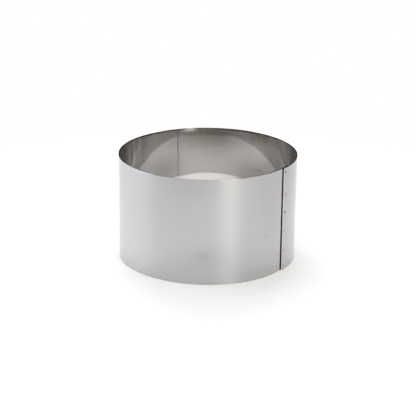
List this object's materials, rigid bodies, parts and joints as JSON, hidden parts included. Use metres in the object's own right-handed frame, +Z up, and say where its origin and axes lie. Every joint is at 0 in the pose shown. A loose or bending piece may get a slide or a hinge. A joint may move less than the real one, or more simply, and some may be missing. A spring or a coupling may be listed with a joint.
{
  "type": "cake ring",
  "caption": "Open round cake ring rolled from one strip of thin stainless sheet, with plain cut rims and a spot-welded lap seam down its side.",
  "frame": {"origin": "centre of the ring at its base, on the surface that it stands on", "axes": "+Z up along the ring's axis; -Y is the picture's front, and the lap seam lies between the front and +X"},
  "size_m": [0.1, 0.1, 0.0593],
  "materials": {
    "sheet_steel": "bright annealed, close to a mirror, with a fine rolled grain",
    "weld_steel": "dished by the weld's electrodes, dull, with a slight heat tint"
  },
  "bodies": {
    "root": {"ring_band": "sheet_steel", "spot_weld_1": "weld_steel", "spot_weld_2": "weld_steel", "spot_weld_3": "weld_steel", "spot_weld_4": "weld_steel", "spot_weld_5": "weld_steel", "spot_weld_6": "weld_steel"}
  },
  "joints": []
}
